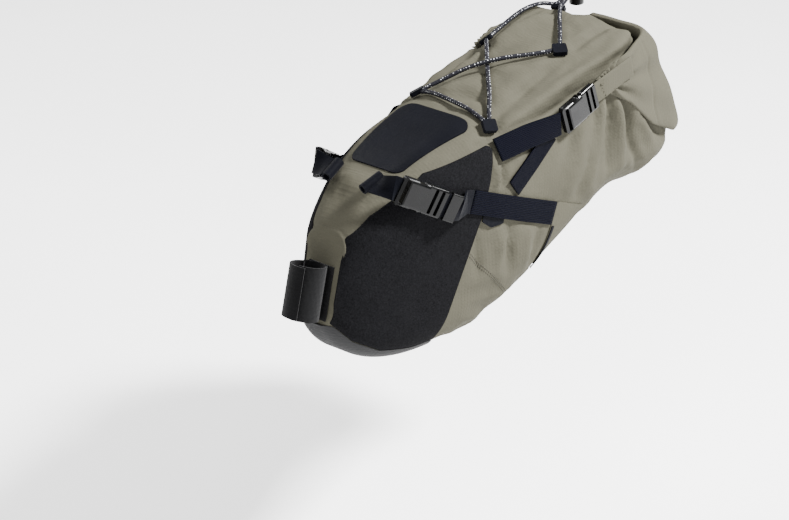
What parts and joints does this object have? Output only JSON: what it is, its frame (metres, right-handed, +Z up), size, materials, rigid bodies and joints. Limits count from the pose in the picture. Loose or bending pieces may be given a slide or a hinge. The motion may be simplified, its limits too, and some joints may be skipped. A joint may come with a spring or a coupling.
{
  "type": "bicycle saddle bag",
  "caption": "Roll-top fabric saddle bag hung from seat post and saddle rails, with side-release buckles, compression straps and a bungee lashing on top.",
  "frame": {"origin": "on the seat post's axis at the middle of the post strap", "axes": "+X to the rear of the bicycle along the bag's length, +Y to the bicycle's right, +Z up"},
  "size_m": [0.5501, 0.1854, 0.2801],
  "materials": {
    "olive_fabric": "grey-green laminated fabric",
    "abrasion_panel": "charcoal woven abrasion fabric",
    "skid_fabric": "dark grey coated fabric",
    "coated_patch": "smooth coated patch",
    "stiffener_sheet": "plastic sheet",
    "hook_and_loop": "black hook-and-loop",
    "buckle_plastic": "black moulded acetal",
    "bungee": "black cord with reflective flecks",
    "lock_plastic": "black moulded plastic",
    "spring_steel": "spring wire",
    "webbing": "black ribbed webbing"
  },
  "bodies": {
    "bag": {"base_stiffener": "stiffener_sheet", "bungee_cord": "bungee", "compression_strap_left": "webbing", "compression_strap_right": "webbing", "cord_anchors": "webbing", "main_shell": "olive_fabric", "nose_board": "stiffener_sheet", "post_strap": "hook_and_loop", "rail_buckle_socket_left": "buckle_plastic", "rail_buckle_socket_right": "buckle_plastic", "rail_strap_left": "webbing", "rail_strap_right": "webbing", "rail_webbing_left": "webbing", "rail_webbing_right": "webbing", "saddle_patch": "coated_patch", "side_panel_left": "abrasion_panel", "side_panel_right": "abrasion_panel", "skid_panel": "skid_fabric", "strap_tab_left": "webbing", "strap_tab_right": "webbing", "tail_buckle_socket_left": "buckle_plastic", "tail_buckle_socket_right": "buckle_plastic", "tail_strap_lower_left": "webbing", "tail_strap_lower_right": "webbing", "tail_strap_upper_left": "webbing", "tail_strap_upper_right": "webbing", "wing_panel_left": "olive_fabric", "wing_panel_right": "olive_fabric"},
    "roll": {"roll_closure": "olive_fabric", "roll_batten": "stiffener_sheet", "roll_tab_left": "olive_fabric", "roll_tab_right": "olive_fabric", "tail_buckle_plug_left": "buckle_plastic", "tail_buckle_plug_right": "buckle_plastic"},
    "post_flap": {"post_flap": "hook_and_loop"},
    "cord_lock": {"cord_lock_body": "lock_plastic", "cord_lock_spring": "spring_steel"},
    "cord_lock_button": {"cord_lock_button": "lock_plastic"},
    "rail_plug_left": {"rail_buckle_plug_left": "buckle_plastic"},
    "keeper_left": {"strap_keeper_left": "webbing"},
    "rail_plug_right": {"rail_buckle_plug_right": "buckle_plastic"},
    "keeper_right": {"strap_keeper_right": "webbing"}
  },
  "joints": [
    {"name": "roll_draw", "type": "slide", "parent": "bag", "child": "roll", "axis": [0.9563, 0, 0.2924], "range_m": [0, 0.08]},
    {"name": "post_flap_peel", "type": "hinge", "parent": "bag", "child": "post_flap", "pos_m": [0.00864, 0.01691, -0.00248], "axis": [-0.2756, 0, -0.9613], "range_deg": [0, 100]},
    {"name": "cord_lock_slide", "type": "slide", "parent": "bag", "child": "cord_lock", "axis": [1, 0, 0], "range_m": [-0.005, 0.005]},
    {"name": "cord_lock_press", "type": "slide", "parent": "cord_lock", "child": "cord_lock_button", "axis": [0, 0, -1], "range_m": [0, 0.0035], "stiffness_N_per_m": 900, "springref_m": -0.001, "deforming": ["cord_lock_spring"]},
    {"name": "rail_plug_left_slide", "type": "slide", "parent": "bag", "child": "rail_plug_left", "axis": [0.7917, -0.4009, -0.461], "range_m": [0, 0.026], "deforming": ["rail_webbing_left"]},
    {"name": "keeper_left_slide", "type": "slide", "parent": "rail_plug_left", "child": "keeper_left", "axis": [0.7917, -0.4009, -0.461], "range_m": [0, 0.004]},
    {"name": "rail_plug_right_slide", "type": "slide", "parent": "bag", "child": "rail_plug_right", "axis": [0.7917, 0.4009, -0.461], "range_m": [0, 0.026], "deforming": ["rail_webbing_right"]},
    {"name": "keeper_right_slide", "type": "slide", "parent": "rail_plug_right", "child": "keeper_right", "axis": [0.7917, 0.4009, -0.461], "range_m": [0, 0.004]}
  ]
}
